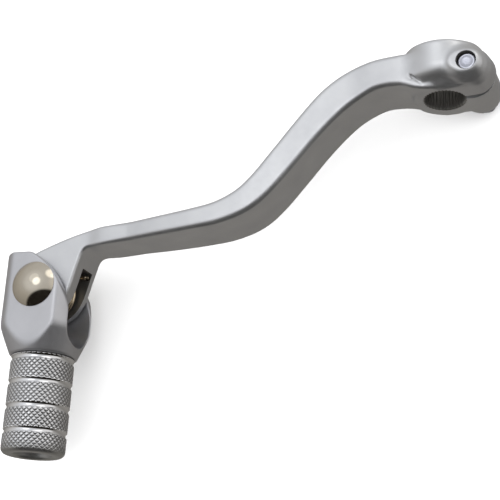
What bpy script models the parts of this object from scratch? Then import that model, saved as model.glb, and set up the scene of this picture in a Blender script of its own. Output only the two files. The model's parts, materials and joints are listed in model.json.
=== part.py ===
"""Motorcycle gear shift lever with a spring-loaded folding toe tip.

Frame: the origin is the centre of the splined bore.  +X points rearward, so the
arm runs towards -X, +Y points inboard along the bore axis, and +Z points up,
along the pinch bolt and the fold pivot.  Lengths below are in millimetres.
"""
import math

import bmesh
import bpy
from mathutils import Matrix, Vector

MM = 0.001

# ---------------------------------------------------------------- clamp head
BORE_ROOT_R = 6.65          # spline groove bottoms
BORE_TIP_R = 6.15           # spline tooth tips
BORE_TEETH = 36
BOSS_R = 9.8
BOSS_DROP = 0.7             # the boss is thicker below the bore than above it
BOSS_HALF = 7.5             # half the clamp length along Y
BOLT_X = 9.2
BOLT_Y = -0.9
LUG_R = 6.6                 # the rounded lug stands around the bolt
# height and inset of the lug's rings, from the bolt seat to the thread's mouth
LUG_RINGS = ((-14.6, 0.9), (-13.4, 0.3), (-9.0, 0.0), (2.0, 0.0),
             (6.0, 0.7), (8.6, 1.5), (10.6, 2.4), (12.0, 3.3))
LUG_BOTTOM = LUG_RINGS[0][0]
HEAD_X = 0.2                # centre of the thick round head behind the boss
HEAD_Z = 0.3
HEAD_R = 12.1
HEAD_FLAT = 0.9             # depth below its centre against above
HEAD_FRONT = -5.0
HEAD_EASE = 5.0             # rounding of its outboard edge
SLIT = 1.8
BOLT_R = 3.0
BOLT_HOLE_R = 3.3
BOLT_FLANGE_R = 5.5
BOLT_HEX_AF = 8.0
BOLT_END = 11.0

# ---------------------------------------------------------------------- arm
# centre X, centre Y, width across, height, along the S from the head outwards
ARM = (
    (-1.0, -0.8, 12.6, 17.0),
    (-6.0, -0.5, 12.2, 18.4),
    (-12.0, 0.3, 10.4, 19.6),
    (-20.0, 0.2, 10.0, 18.6),
    (-27.0, -2.1, 10.6, 17.2),
    (-34.0, -6.6, 10.6, 17.0),
    (-42.0, -14.5, 9.9, 17.2),
    (-50.0, -23.6, 9.5, 17.5),
    (-57.0, -31.3, 9.0, 18.2),
    (-63.0, -36.0, 8.5, 18.8),
    (-71.0, -39.0, 7.6, 19.0),
    (-80.0, -40.2, 7.0, 19.0),
    (-91.0, -41.0, 6.6, 18.0),
    (-102.0, -41.6, 6.3, 15.8),
)
EDGE = 1.6                  # forged edge radius of the arm

# ---------------------------------------------------------------- toe pivot
PIVOT = (-132.4, -57.6)
# inboard X, inboard Y, outboard X, outboard Y of the hook, from the pivot
HOOK = (
    (22.0, 18.7, 22.0, 12.6),
    (17.5, 18.2, 17.2, 12.5),
    (13.0, 17.3, 15.2, 11.9),
    (8.0, 16.0, 14.1, 10.4),
    (3.0, 14.4, 13.2, 7.8),
    (-2.0, 12.6, 12.2, 4.8),
    (-6.2, 10.3, 11.3, 1.8),
    (-9.2, 7.0, 10.4, -0.9),
    (-10.4, 3.0, 9.2, -3.5),
    (-10.4, -1.5, 7.4, -6.0),
    (-10.3, -6.0, 5.1, -7.9),
    (-10.0, -9.4, 2.2, -9.2),
    (-9.2, -11.4, -0.8, -9.9),
)
TONGUE_HALF = 6.95          # half the tongue's thickness
TONGUE_HOLE_R = 6.3
SPRING_SLOT = (-4.1, 2.6)   # bottom and top of the spring slot
SPRING_SLOT_END = (12.2, 6.7)   # inboard end of the slot on the rear wall
SPRING_POCKET_R = 9.2
LEG_HOLE = (11.2, 5.6)      # anchor hole of the spring's lower leg
LEG_HOLE_R = 1.0

TIP_SWEEP = -3.0            # degrees the tip points forward of square at rest
EAR_TOP = 11.6              # outer face of the upper ear
EAR_OUT = 11.0              # outer face of the lower ear
EAR_IN = 7.9                # inner faces of the fork ears
EAR_END = 11.2
FORK_R = 14.5
FORK_END = 12.8             # where the turned cylinder meets the cone
SLOT_FLOOR = 10.6           # centre of the slot's round floor
ARC_R = 28.2                # relief on the ears' rear inboard corner
ARC_CENTRE = (-15.6, -13.6)
COLLAR_R = 10.8
COLLAR_END = 21.5
SPIGOT_R = 5.7
SPIGOT_END = 50.4
PIN_HOLE_R = 4.3

PEG_START = 21.8
PEG_END = 53.2
PEG_R = 10.2
PEG_BORE_R = 6.0
GROOVE_FIRST = 22.7
GROOVE_PITCH = 7.8
GROOVE_HALF = 1.0
GROOVE_DEPTH = 0.55
PEG_NOSE = 1.9

PIN_R = 4.0
PIN_HEAD_R = 7.4
PIN_HEAD_RISE = 2.7
PIN_TAIL_R = 5.6
SLEEVE_R = 6.0
SLEEVE_HALF = 7.0
WASHER_R = 6.9
WASHER_T = 1.2
GAP = 0.3                   # clearance left between separate pieces

WIRE_R = 0.65
COIL_R = 7.6
COIL_TURNS = 3.25
COIL_BOTTOM = -3.1
COIL_TOP = 1.6
LEG_REACH = 20.5            # upper leg, from the coil into the fork


# ------------------------------------------------------------------ helpers
def clear_scene():
    for obj in list(bpy.data.objects):
        bpy.data.objects.remove(obj, do_unlink=True)


def material(name, colour, metallic, roughness):
    mat = bpy.data.materials.new(name)
    mat.use_nodes = True
    shader = mat.node_tree.nodes["Principled BSDF"]
    shader.inputs["Base Color"].default_value = (*colour, 1.0)
    shader.inputs["Metallic"].default_value = metallic
    shader.inputs["Roughness"].default_value = roughness
    mat.diffuse_color = (*colour, 1.0)
    return mat


def add_object(name, verts, faces, mat=None, origin=(0.0, 0.0, 0.0)):
    """Make a mesh object from millimetre points around origin."""
    mesh = bpy.data.meshes.new(name)
    mesh.from_pydata([tuple(c * MM for c in v) for v in verts], [], faces)
    work = bmesh.new()
    work.from_mesh(mesh)
    bmesh.ops.recalc_face_normals(work, faces=work.faces)
    work.to_mesh(mesh)
    work.free()
    obj = bpy.data.objects.new(name, mesh)
    obj.location = [c * MM for c in origin]
    bpy.context.scene.collection.objects.link(obj)
    if mat:
        mesh.materials.append(mat)
        for poly in mesh.polygons:
            poly.use_smooth = True
    return obj


def rings_to_faces(rings, size, closed):
    """Quads between equal rings; closed joins the last ring to the first."""
    faces = []
    for i in range(rings if closed else rings - 1):
        a, b = i * size, ((i + 1) % rings) * size
        for k in range(size):
            n = (k + 1) % size
            faces.append((a + k, a + n, b + n, b + k))
    if not closed:
        faces.append(tuple(range(size)))
        faces.append(tuple((rings - 1) * size + k for k in range(size)))
    return faces


def turned(name, profile, mat=None, origin=(0, 0, 0), turn=None, segs=48, tube=False):
    """Turn (radius, height) pairs about local Z; a tube closes on itself."""
    verts = []
    for r, h in profile:
        for k in range(segs):
            a = 2 * math.pi * k / segs
            verts.append(Vector((r * math.cos(a), r * math.sin(a), h)))
    if turn:
        verts = [turn @ v for v in verts]
    return add_object(name, verts, rings_to_faces(len(profile), segs, tube), mat, origin)


def prism(name, outline, low, high, mat=None, origin=(0, 0, 0), turn=None):
    """Extrude an XY outline between two heights."""
    verts = [Vector((x, y, z)) for z in (low, high) for x, y in outline]
    if turn:
        verts = [turn @ v for v in verts]
    return add_object(name, verts, rings_to_faces(2, len(outline), False), mat, origin)


def boolean(obj, tool, operation):
    mod = obj.modifiers.new(tool.name, "BOOLEAN")
    mod.operation = operation
    mod.solver = "EXACT"
    mod.object = tool
    tool.hide_render = True
    tool.display_type = "WIRE"


def arc(cx, cy, r, start, end, count):
    """Points on an arc, angles in degrees."""
    out = []
    for k in range(count + 1):
        a = math.radians(start + (end - start) * k / count)
        out.append((cx + r * math.cos(a), cy + r * math.sin(a)))
    return out


ALONG_Y = Matrix.Rotation(math.radians(-90), 4, "X")     # local Z onto +Y
TIP_TURN = Matrix.Rotation(math.radians(TIP_SWEEP), 4, "Z")
TIP_AXIS = TIP_TURN @ Matrix.Rotation(math.radians(90), 4, "X")  # Z onto the peg
PIVOT_AT = (PIVOT[0], PIVOT[1], 0.0)


# ---------------------------------------------------------------- lever arm
def smooth_stations(points, steps):
    """Catmull-Rom through the stations."""
    out = []
    last = len(points) - 1
    for i in range(last):
        p0, p1 = points[max(i - 1, 0)], points[i]
        p2, p3 = points[i + 1], points[min(i + 2, last)]
        for k in range(steps):
            t = k / steps
            out.append(tuple(
                0.5 * (2 * b + (c - a) * t + (2 * a - 5 * b + 4 * c - d) * t * t
                       + (3 * b - a - 3 * c + d) * t ** 3)
                for a, b, c, d in zip(p0, p1, p2, p3)))
    out.append(points[last])
    return out


def arm_stations():
    """Inboard point, outboard point and half height of each cross-section."""
    path = smooth_stations(ARM, 3)
    out = []
    for i, (x, y, width, height) in enumerate(path):
        ax, ay = path[max(i - 1, 0)][:2]
        bx, by = path[min(i + 1, len(path) - 1)][:2]
        side = Vector((-(by - ay), bx - ax)).normalized() * (width / 2)
        out.append(((x - side.x, y - side.y), (x + side.x, y + side.y), height / 2))
    for i, (ix, iy, ox, oy) in enumerate(HOOK):
        blend = max(0.0, 1.0 - i / 2)
        half = TONGUE_HALF + 0.35 * blend
        out.append(((PIVOT[0] + ix, PIVOT[1] + iy), (PIVOT[0] + ox, PIVOT[1] + oy), half))
    return out


def section(inboard, outboard, half, corner):
    """One rounded rectangle, four points to each corner."""
    a, b = Vector((*inboard, 0)), Vector((*outboard, 0))
    across = (b - a).normalized()
    mid, reach = (a + b) / 2, (b - a).length / 2
    r = min(corner, reach * 0.6, half * 0.6)
    ring = []
    for sx, sz, start in ((1, 1, 0), (-1, 1, 90), (-1, -1, 180), (1, -1, 270)):
        for k in range(4):
            ang = math.radians(start + 30 * k)
            u = sx * (reach - r) + r * math.cos(ang)
            w = sz * (half - r) + r * math.sin(ang)
            ring.append(mid + across * u + Vector((0, 0, w)))
    return ring


def spline_outline():
    """Serrated bore, one flat-topped tooth per pitch."""
    pts = []
    step = 2 * math.pi / BORE_TEETH
    for k in range(BORE_TEETH):
        for part, r in ((0.06, BORE_TIP_R), (0.30, BORE_TIP_R),
                        (0.56, BORE_ROOT_R), (0.80, BORE_ROOT_R)):
            a = (k + part) * step
            pts.append((r * math.cos(a), r * math.sin(a)))
    return pts


def build_head():
    """Thick round head around the bore, eased on its outboard side."""
    segs = 48
    profile = arc(HEAD_R - HEAD_EASE, HEAD_FRONT + HEAD_EASE, HEAD_EASE, -90, 0, 7)
    profile += [(HEAD_R, BOSS_HALF - 1.0), (HEAD_R - 1.0, BOSS_HALF)]
    verts = []
    for r, y in profile:
        for k in range(segs):
            a = 2 * math.pi * k / segs
            rise = r * math.sin(a)
            verts.append((HEAD_X + r * math.cos(a), y,
                          HEAD_Z + (rise if rise > 0 else rise * HEAD_FLAT)))
    return add_object("head", verts, rings_to_faces(len(profile), segs, False))


def build_lever_arm(mat):
    verts = []
    stations = arm_stations()
    for inboard, outboard, half in stations:
        verts += section(inboard, outboard, half, EDGE if half > TONGUE_HALF + 0.01 else 1.0)
    arm = add_object("lever_arm", verts, rings_to_faces(len(stations), 16, False), mat)

    boss = turned("boss", [(BOSS_R - 0.8, -BOSS_HALF), (BOSS_R, -BOSS_HALF + 0.8),
                           (BOSS_R, BOSS_HALF - 0.8), (BOSS_R - 0.8, BOSS_HALF)],
                  turn=ALONG_Y, origin=(0, 0, -BOSS_DROP), segs=48)
    lug_rings = []
    for z, inset in LUG_RINGS:
        r = LUG_R - inset
        near, width = (0.3, r) if -9.5 < z < 7.0 else (BOLT_X - 0.92 * r, 0.4 * r)
        outline = arc(BOLT_X, BOLT_Y, r, -90, 90, 20)
        outline += [(near, BOLT_Y + width), (near, BOLT_Y - width)]
        lug_rings += [(x, y, z) for x, y in outline]
    size = len(lug_rings) // len(LUG_RINGS)
    lug = add_object("lug", lug_rings, rings_to_faces(len(LUG_RINGS), size, False))

    for part in (boss, lug, build_head()):
        boolean(arm, part, "UNION")

    bore = prism("bore", spline_outline(), -20, 20, turn=ALONG_Y)
    slit = prism("slit", [(3, -20), (30, -20), (30, 20), (3, 20)], -SLIT / 2, SLIT / 2)
    mouth = LUG_RINGS[-1][0]
    bolt_hole = turned("bolt_hole", [(BOLT_HOLE_R, -20), (BOLT_HOLE_R, mouth - 0.8),
                                     (BOLT_HOLE_R + 0.4, mouth), (BOLT_HOLE_R + 0.4, 20)],
                       origin=(BOLT_X, BOLT_Y, 0), segs=32)
    pin_bore = turned("pin_bore", [(TONGUE_HOLE_R, -20), (TONGUE_HOLE_R, 20)],
                      origin=PIVOT_AT, segs=40)
    low, high = SPRING_SLOT
    pocket = arc(0, 0, SPRING_POCKET_R, 77.4, 135, 8)
    spring_slot = prism("spring_slot", [(30, -30), (30, SPRING_SLOT_END[1]), SPRING_SLOT_END]
                        + pocket + [(-30, pocket[-1][1]), (-30, -30)],
                        low, high, origin=PIVOT_AT)
    leg_hole = turned("leg_hole", [(LEG_HOLE_R, low - 2.4), (LEG_HOLE_R, low + 0.5)],
                      origin=(PIVOT[0] + LEG_HOLE[0], PIVOT[1] + LEG_HOLE[1], 0), segs=16)
    for part in (bore, slit, bolt_hole, pin_bore, spring_slot, leg_hole):
        boolean(arm, part, "DIFFERENCE")


# -------------------------------------------------------------- folding tip
def build_toe_yoke(mat):
    profile = [(14.0, -EAR_END), (FORK_R, -EAR_END + 0.7), (FORK_R, FORK_END - 1.6),
               (FORK_R - 0.25, FORK_END - 0.4), (FORK_R - 0.85, FORK_END + 1.0),
               (COLLAR_R + 0.1, COLLAR_END - 0.8),
               (COLLAR_R - 0.3, COLLAR_END), (SPIGOT_R, COLLAR_END),
               (SPIGOT_R, SPIGOT_END - 0.6), (SPIGOT_R - 0.6, SPIGOT_END)]
    yoke = turned("toe_yoke", profile, mat, PIVOT_AT, TIP_AXIS, segs=72)

    slab = prism("ear_faces", [(-30, -80), (30, -80), (30, 30), (-30, 30)],
                 -EAR_OUT, EAR_TOP, origin=PIVOT_AT, turn=TIP_TURN)
    boolean(yoke, slab, "INTERSECT")

    floor = [(y, z) for y, z in arc(-SLOT_FLOOR, 0, EAR_IN, 90, 270, 24)]
    outline = floor + [(30, -EAR_IN), (30, EAR_IN)]
    verts = [TIP_TURN @ Vector((x, y, z)) for x in (-30, 30) for y, z in outline]
    slot = add_object("fork_slot", verts, rings_to_faces(2, len(outline), False),
                      origin=PIVOT_AT)
    relief_arc = arc(*ARC_CENTRE, ARC_R, 0, 66, 24)
    relief = prism("ear_relief", relief_arc + [(-4.4, 25), (40, 25), (40, ARC_CENTRE[1])],
                   -30, 30, origin=PIVOT_AT, turn=TIP_TURN)
    pin_hole = turned("pin_hole", [(PIN_HOLE_R, -30), (PIN_HOLE_R, 30)],
                      origin=PIVOT_AT, segs=40)
    leg_slot = turned("spring_leg_hole", [(1.0, -14.0), (1.0, -22.5)], origin=PIVOT_AT,
                      turn=TIP_TURN @ Matrix.Translation((-COIL_R, 0, COIL_TOP))
                      @ Matrix.Rotation(math.radians(-90), 4, "X"), segs=16)
    for part in (slot, relief, pin_hole, leg_slot):
        boolean(yoke, part, "DIFFERENCE")


def build_toe_peg(mat):
    """Grip sleeve; the knurl is finer than this solid and is left plain here."""
    outer = []
    for k in range(4):
        mid = GROOVE_FIRST + k * GROOVE_PITCH
        for t in (-1.0, -0.5, 0.0, 0.5, 1.0):
            s = mid + t * GROOVE_HALF
            if s > PEG_START + 0.05:
                outer.append((PEG_R - GROOVE_DEPTH * math.sqrt(max(0.0, 1 - t * t)), s))
    outer.insert(0, (PEG_R - GROOVE_DEPTH, PEG_START))
    nose = [(PEG_R - PEG_NOSE + PEG_NOSE * math.cos(math.radians(a)),
             PEG_END - PEG_NOSE + PEG_NOSE * math.sin(math.radians(a)))
            for a in (0, 30, 60, 90)]
    inner = [(PEG_BORE_R + 0.5, PEG_END), (PEG_BORE_R, PEG_END - 0.5), (PEG_BORE_R, PEG_START)]
    turned("toe_peg", outer + nose + inner, mat, PIVOT_AT, TIP_AXIS, segs=64, tube=True)


def build_pivot(pin_mat, steel_mat):
    head = EAR_TOP + GAP
    dome_r = (PIN_HEAD_R ** 2 + PIN_HEAD_RISE ** 2) / (2 * PIN_HEAD_RISE)
    centre = head + 0.2 + PIN_HEAD_RISE - dome_r
    reach = math.degrees(math.asin(PIN_HEAD_R / dome_r))
    crown = [(dome_r * math.sin(math.radians(reach * k / 7)),
              centre + dome_r * math.cos(math.radians(reach * k / 7)))
             for k in range(7, 0, -1)] + [(0.3, head + 0.2 + PIN_HEAD_RISE)]
    tail = -(EAR_OUT + 2 * GAP + WASHER_T)
    profile = [(PIN_TAIL_R - 1.6, tail - 1.7), (PIN_TAIL_R - 0.4, tail - 1.1),
               (PIN_TAIL_R, tail - 0.5), (PIN_TAIL_R, tail - GAP), (PIN_R, tail - GAP),
               (PIN_R, head), (PIN_HEAD_R - 0.2, head)] + crown
    turned("pivot_pin", profile, pin_mat, PIVOT_AT, segs=48)

    washer_top = -(EAR_OUT + GAP)
    ring = [(PIN_HOLE_R, washer_top - WASHER_T), (WASHER_R - 0.2, washer_top - WASHER_T),
            (WASHER_R, washer_top - WASHER_T + 0.2), (WASHER_R, washer_top),
            (PIN_HOLE_R, washer_top)]
    turned("pivot_washer", ring, steel_mat, PIVOT_AT, segs=40, tube=True)

    bush = [(PIN_HOLE_R, -SLEEVE_HALF), (SLEEVE_R, -SLEEVE_HALF),
            (SLEEVE_R, SLEEVE_HALF), (PIN_HOLE_R, SLEEVE_HALF)]
    turned("pivot_sleeve", bush, steel_mat, PIVOT_AT, segs=40, tube=True)


def spring_path():
    """Centre line: lower leg in the lever, coil, upper leg in the fork."""
    rise = COIL_TOP - COIL_BOTTOM
    end = 180.0 + TIP_SWEEP
    start = end - 360.0 * COIL_TURNS
    anchor = Vector((*LEG_HOLE, 0))
    path = [anchor + Vector((0, 0, COIL_BOTTOM - 2.9)),
            anchor + Vector((0, 0, COIL_BOTTOM - 0.8)),
            anchor + Vector((-0.25, -0.1, COIL_BOTTOM - 0.25)),
            anchor + Vector((-0.9, -0.1, COIL_BOTTOM))]
    steps = int(20 * COIL_TURNS)
    for k in range(steps + 1):
        a = math.radians(start + (end - start) * k / steps)
        path.append(Vector((COIL_R * math.cos(a), COIL_R * math.sin(a),
                            COIL_BOTTOM + rise * k / steps)))
    out = TIP_TURN @ Vector((0, -1, 0))
    foot = path[-1].copy()
    for reach in (3.0, 9.0, 15.0, LEG_REACH):
        path.append(foot + out * reach)
    return path


def build_spring(mat):
    path = spring_path()
    verts = []
    side = None
    for i, p in enumerate(path):
        ahead = path[min(i + 1, len(path) - 1)] - path[max(i - 1, 0)]
        ahead.normalize()
        if side is None:
            side = Vector((1, 0, 0))
        side = (side - ahead * side.dot(ahead)).normalized()
        up = ahead.cross(side)
        for k in range(8):
            a = 2 * math.pi * k / 8
            verts.append(p + (side * math.cos(a) + up * math.sin(a)) * WIRE_R)
    add_object("torsion_spring", verts, rings_to_faces(len(path), 8, False), mat, PIVOT_AT)


def build_pinch_bolt(mat):
    """M6 flange bolt from below; its thread end shows in the head's top."""
    seat = LUG_BOTTOM - GAP

    def hexagon(af):
        pts = []
        for k in range(24):
            a = 2 * math.pi * k / 24
            off = (a % (math.pi / 3)) - math.pi / 6
            pts.append((af / 2 / math.cos(off) * math.cos(a), af / 2 / math.cos(off) * math.sin(a)))
        return pts

    def circle(r):
        return [(r * math.cos(2 * math.pi * k / 24), r * math.sin(2 * math.pi * k / 24))
                for k in range(24)]

    rings = [(circle(BOLT_HEX_AF / 2 - 0.5), seat - 4.4), (hexagon(BOLT_HEX_AF), seat - 4.0),
             (hexagon(BOLT_HEX_AF), seat - 1.3), (circle(BOLT_FLANGE_R - 0.2), seat - 0.9),
             (circle(BOLT_FLANGE_R), seat - 0.6), (circle(BOLT_FLANGE_R), seat),
             (circle(BOLT_R), seat), (circle(BOLT_R), BOLT_END - 0.6),
             (circle(BOLT_R - 0.6), BOLT_END)]
    verts = [(x, y, z) for ring, z in rings for x, y in ring]
    add_object("pinch_bolt", verts, rings_to_faces(len(rings), 24, False), mat,
               (BOLT_X, BOLT_Y, 0))


def main():
    clear_scene()
    forged = material("forged_aluminium", (0.70, 0.70, 0.71), 1.0, 0.42)
    yoke = material("blasted_aluminium", (0.68, 0.68, 0.70), 1.0, 0.45)
    machined = material("machined_aluminium", (0.78, 0.78, 0.79), 1.0, 0.22)
    nickel = material("polished_nickel", (0.66, 0.61, 0.54), 1.0, 0.08)
    steel = material("plain_steel", (0.55, 0.55, 0.56), 1.0, 0.35)
    spring = material("spring_steel", (0.40, 0.36, 0.30), 1.0, 0.30)
    zinc = material("zinc_plated_steel", (0.66, 0.68, 0.72), 1.0, 0.25)

    build_lever_arm(forged)
    build_toe_yoke(yoke)
    build_toe_peg(machined)
    build_pivot(nickel, steel)
    build_spring(spring)
    build_pinch_bolt(zinc)


main()
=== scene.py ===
"""Looks of the folding gear shift lever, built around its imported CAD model.

The forged arm and the milled fork are modelled as distance fields, so that every
edge and inner corner has a true radius; the other pieces are turned, swept or
knurled in mesh code.  Lengths are in millimetres until a mesh is made, in the CAD
frame: origin at the centre of the splined bore, +X rearward, +Y inboard, +Z up.
"""
import json
import math

import bpy
import numpy as np
from mathutils import Matrix, Vector


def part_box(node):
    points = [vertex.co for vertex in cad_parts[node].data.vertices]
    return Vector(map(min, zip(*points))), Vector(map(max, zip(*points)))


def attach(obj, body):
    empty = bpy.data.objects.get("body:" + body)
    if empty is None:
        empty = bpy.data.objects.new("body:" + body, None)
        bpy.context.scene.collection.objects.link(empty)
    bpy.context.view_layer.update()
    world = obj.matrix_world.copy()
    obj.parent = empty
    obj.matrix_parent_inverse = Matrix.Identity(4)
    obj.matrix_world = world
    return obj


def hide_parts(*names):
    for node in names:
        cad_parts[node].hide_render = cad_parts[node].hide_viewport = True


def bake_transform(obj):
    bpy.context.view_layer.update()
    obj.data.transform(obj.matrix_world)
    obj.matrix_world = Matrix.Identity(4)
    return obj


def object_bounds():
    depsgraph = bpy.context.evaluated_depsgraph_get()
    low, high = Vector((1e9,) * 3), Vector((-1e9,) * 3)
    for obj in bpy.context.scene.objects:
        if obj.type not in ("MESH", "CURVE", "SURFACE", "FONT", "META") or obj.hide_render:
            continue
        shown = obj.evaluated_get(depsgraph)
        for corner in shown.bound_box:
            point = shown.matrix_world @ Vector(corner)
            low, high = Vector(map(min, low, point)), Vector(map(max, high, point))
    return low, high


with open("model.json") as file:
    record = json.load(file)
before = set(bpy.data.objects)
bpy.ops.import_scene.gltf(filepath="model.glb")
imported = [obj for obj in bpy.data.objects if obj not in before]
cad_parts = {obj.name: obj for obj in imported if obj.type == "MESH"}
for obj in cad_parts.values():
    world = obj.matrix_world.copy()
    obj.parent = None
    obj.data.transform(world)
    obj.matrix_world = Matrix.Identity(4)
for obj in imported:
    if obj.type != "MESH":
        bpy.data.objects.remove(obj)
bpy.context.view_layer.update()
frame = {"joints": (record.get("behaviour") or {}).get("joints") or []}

MM = 0.001
JOINT = frame["joints"][0]
PIVOT = np.array([c / MM for c in JOINT["pos_m"]])
FOLD_AXIS = Vector((0, 0, 1))


def node_box(node):
    """Lowest and highest corner of a CAD node, in millimetres."""
    low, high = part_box(node)
    return np.array(low) / MM, np.array(high) / MM


# ------------------------------------------------------------- driving sizes
# Arm: centre X, centre Y, width across, height, from the head outwards.
ARM = (
    (-1.0, -0.8, 12.6, 17.0),
    (-6.0, -0.5, 12.2, 18.4),
    (-12.0, 0.3, 10.4, 19.6),
    (-20.0, 0.2, 10.0, 18.6),
    (-27.0, -2.1, 10.6, 17.2),
    (-34.0, -6.6, 10.6, 17.0),
    (-42.0, -14.5, 9.9, 17.2),
    (-50.0, -23.6, 9.5, 17.5),
    (-57.0, -31.3, 9.0, 18.2),
    (-63.0, -36.0, 8.5, 18.8),
    (-71.0, -39.0, 7.6, 19.0),
    (-80.0, -40.2, 7.0, 19.0),
    (-91.0, -41.0, 6.6, 18.0),
    (-102.0, -41.6, 6.3, 16.0),
)
# Hook: inboard X, Y and outboard X, Y from the pivot, from the arm to the nose.
HOOK = (
    (22.0, 18.7, 22.0, 12.6),
    (17.5, 18.2, 17.2, 12.5),
    (13.0, 17.3, 15.2, 11.9),
    (8.0, 16.0, 14.1, 10.4),
    (3.0, 14.4, 13.2, 7.8),
    (-2.0, 12.6, 12.2, 4.8),
    (-6.2, 10.3, 11.3, 1.8),
    (-9.2, 7.0, 10.4, -0.9),
    (-10.4, 3.0, 9.2, -3.5),
    (-10.4, -1.5, 7.4, -6.0),
    (-10.3, -6.0, 5.1, -7.9),
    (-10.0, -9.4, 2.2, -9.2),
    (-9.2, -11.4, -0.8, -9.9),
)
TONGUE_HALF = 6.95
# X and half height where the arm runs down to the tongue
TOE_HALVES = ((-102.0, 8.0), (-107.0, 7.9), (-111.5, 7.7), (-115.5, 7.05), (-118.5, TONGUE_HALF))
ARM_EDGE = 1.6              # forged edge radius of the arm
TONGUE_EDGE = 0.9
HEAD_END_EDGE = 1.0
TONGUE_RUN = (21.0, 32.0)   # from the pivot, where the tongue's edge grows into the arm's
HEAD_RUN = (-14.0, -6.0)    # X where the arm's edge tightens towards the head

BORE_ROOT_R = 6.65
BORE_TIP_R = 6.15
BORE_TEETH = 36
BORE_CHAMFER = 0.3
BOSS_R = 9.8
BOSS_DROP = 0.8
BOSS_HALF = 7.5
BOSS_FACE = -7.7            # outboard face of the bore, at its middle
BOSS_LEAN = 0.045           # that face leans out this much per mm below the middle
BOSS_EDGE = 0.9
BROW_EDGE = 2.2             # the edge above the bore is rounder by this
BROW_RISE = 6.0             # height over which that comes in
LUG_R = 7.2
LUG_Z = (-14.85, -13.4, -9.0, -1.0, 1.0, 6.0, 8.6, 10.6, 12.0)
LUG_INSET = (1.4, 0.8, 0.6, 0.6, 0.0, 0.6, 1.5, 2.5, 3.6)
LUG_REACH_Z = (-11.1, -10.5, 6.0, 8.0)  # between these heights it reaches back to the bore
LUG_REACH_X = 0.3
HEAD_CENTRE = (-0.1, 0.3)   # X and Z of the thick round head behind the boss
HEAD_R = 11.95
HEAD_FLAT = 0.9             # the head is this much less deep below than above
HEAD_FRONT = -5.0
HEAD_EASE = 5.0             # rounding of its outboard edge
HEAD_BACK_EDGE = 1.3
HEAD_END = -20.0            # X where the head's outboard face stops trimming the arm
LUG_FILLET = 3.4
BOSS_FILLET = 1.6
ARM_FILLET_Y = (-5.0, -2.5, 3.0, 6.0)
ARM_FILLET = (1.0, 3.2, 3.2, 1.0)
FACE_EDGE = 0.8
NICK = ((-8.9, -2.1, 10.1), (-4.2, -5.8, 9.2))
NICK_R = 0.55
SLIT = 1.9
BOLT_HOLE_R = 3.0
BOLT_HOLE_CROWN = 1.0       # depth of the hole's last, slightly wider turn

PIN_BORE_R = 6.3
SPRING_SLOT = (-4.1, 2.6)
SPRING_SLOT_END = (12.2, 6.7)
SPRING_POCKET_R = 9.2
SPRING_POCKET_ARC = (77.4, 135.0)
LEG_HOLE = (11.2, 5.6)
LEG_HOLE_R = 1.0

TIP_SWEEP = -3.0            # degrees the tip points forward of square at rest
EAR_TOP = 11.7
EAR_OUT = 11.0
EAR_IN = 7.9
EAR_END = 11.2
FORK_R = 14.5
FORK_END = 12.8
FORK_OFFSET = 0.3           # the fork's cylinder lies this much forward of the peg
SLOT_FLOOR = 10.6
RELIEF_R = 28.2
RELIEF_CENTRE = (-15.6, -13.6)
COLLAR_R = 10.8
COLLAR_END = 21.5
CONE_EDGE = 0.6
SLOT_EDGE = 0.4
SPIGOT_R = 5.7
SPIGOT_START = 18.0
SPIGOT_END = 50.4
SPIGOT_FILLET = 0.3
SPRING_HOLE_R = 1.0         # takes the spring's upper leg
SPRING_HOLE = (13.5, 22.5)
PIN_HOLE_R = 4.3
MILLED_EDGE = 0.55

PEG_START = 21.8
PEG_END = 53.2
PEG_R = 10.3
PEG_BORE_R = 6.0
GROOVE_FIRST = 22.7
GROOVE_PITCH = 7.8
GROOVES = 4
GROOVE_HALF = 1.0
GROOVE_DEPTH = 0.50
GROOVE_LIP = 0.06           # a groove starts this far below the crests
GROOVE_LAND = 0.34          # polished land on the collar side of each groove
SHOULDER_DROP = 0.22        # the knurl is chamfered behind each groove
SHOULDER_SLOPE = 0.9
PEG_NOSE = 1.9
NOSE_DROP = 0.10
KNURL_AROUND = 36           # diamonds round the peg
KNURL_PITCH = 1.65          # length of a diamond along the peg
KNURL_DEPTH = 0.45
KNURL_CROWN = 0.38          # share of the pyramid that is left when its point is dulled
KNURL_CUTS = 8              # mesh steps to a diamond, each way

PIN_R = 4.0
PIN_HEAD_R = 7.4
PIN_HEAD_RISE = 2.7
PIN_HEAD_SINK = 0.25        # the dome's top stands this far below its solid's
PIN_HEAD_RIM = 0.1
PIN_TAIL_R = 5.6
PIN_TAIL_RISE = 1.7
SLEEVE_R = 6.0
WASHER_R = 6.9
WIRE_R = 0.65
COIL_R = 7.6
COIL_TURNS = 3.25
COIL_BOTTOM = -3.1
COIL_TOP = 1.6
LEG_REACH = 20.5
BOLT_R = 2.8
BOLT_SEAT = 4.4             # height of the hexagon and flange
THREAD_PITCH = 1.0
THREAD_DEPTH = 0.55
THREAD_START = 3.0          # plain shank above the seat
HEX_AF = 8.0
FLANGE_R = 5.5

# local axes of the tip: across the fork, out along the peg, and up
TIP = np.array(Matrix.Rotation(math.radians(TIP_SWEEP), 3, "Z"))
TIP_ACROSS, TIP_OUT = TIP @ (1.0, 0.0, 0.0), TIP @ (0.0, -1.0, 0.0)


# ------------------------------------------------------------ distance fields
def soft_min(a, b, radius):
    """Union of two fields with a fillet of about that radius."""
    h = np.clip(0.5 + 0.5 * (b - a) / radius, 0.0, 1.0)
    return b + (a - b) * h - radius * h * (1.0 - h)


def soft_max(a, b, radius):
    """Intersection of two fields with a rounded edge."""
    return -soft_min(-a, -b, radius)


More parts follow.
